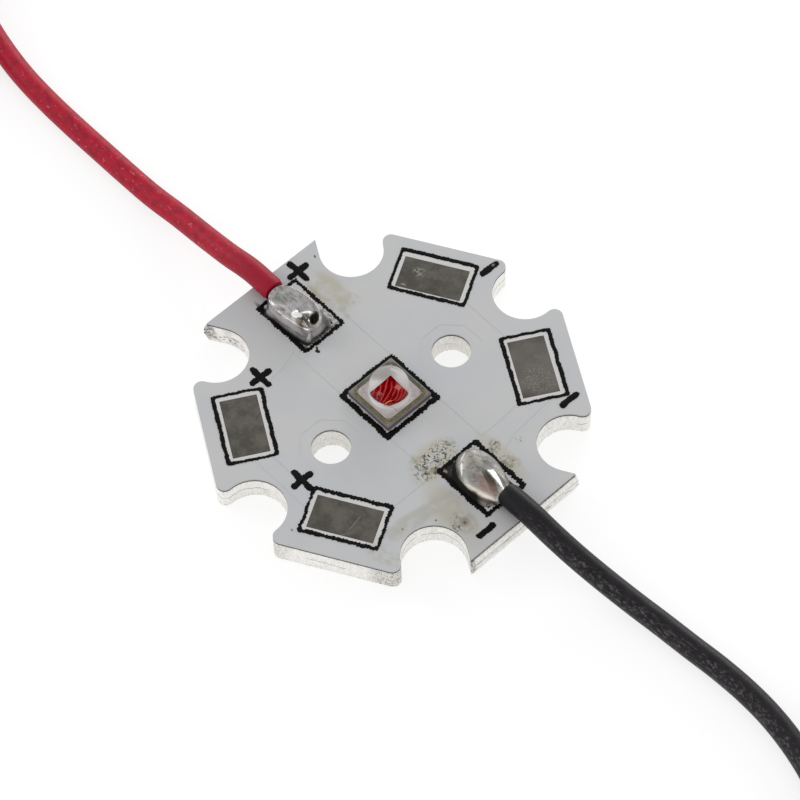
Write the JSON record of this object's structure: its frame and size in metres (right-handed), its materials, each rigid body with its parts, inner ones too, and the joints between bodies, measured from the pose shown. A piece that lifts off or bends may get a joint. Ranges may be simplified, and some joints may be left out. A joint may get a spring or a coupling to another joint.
{
  "type": "star board with light emitter and leads",
  "caption": "Flat metal-core star board with screw notches, a domed red light emitter in the middle, solder pads round it and a red and a black lead soldered on.",
  "frame": {"origin": "centre of the board's underside", "axes": "+Z out of the board's lit face, X along the two leads with the red one at -X, Y through the two round holes"},
  "size_m": [0.096, 0.0275, 0.0037],
  "materials": {
    "board_metal": "satin",
    "insulation": "matte",
    "copper": "satin",
    "lacquer": "semi-gloss",
    "ink": "matte",
    "pad_tin": "satin",
    "solder": "polished",
    "ceramic": "matte",
    "plating": "satin",
    "chip": "polished",
    "gold": "polished",
    "clear_lens": "clear",
    "tinned_wire": "satin",
    "red_sleeve": "satin",
    "black_sleeve": "satin"
  },
  "bodies": {
    "root": {"base_plate": "board_metal", "insulation_layer": "insulation", "copper_plus": "copper", "copper_minus": "copper", "copper_heat": "copper", "white_lacquer": "lacquer", "printed_frames": "ink", "lead_pad_plus": "pad_tin", "lead_pad_minus": "pad_tin", "spare_pad_plus_left": "pad_tin", "spare_pad_plus_front": "pad_tin", "spare_pad_minus_right": "pad_tin", "spare_pad_minus_back": "pad_tin", "led_joint_plus": "solder", "led_joint_minus": "solder", "led_joint_heat": "solder", "led_base": "ceramic", "led_plating": "plating", "led_chip": "chip", "led_bond_wire": "gold", "led_lens": "clear_lens", "solder_mound_red": "solder", "solder_mound_black": "solder", "red_core": "tinned_wire", "red_lead": "red_sleeve", "red_coil": "red_sleeve", "red_stripped_end": "tinned_wire", "black_core": "tinned_wire", "black_lead": "black_sleeve", "black_coil": "black_sleeve", "black_stripped_end": "tinned_wire"}
  },
  "joints": []
}
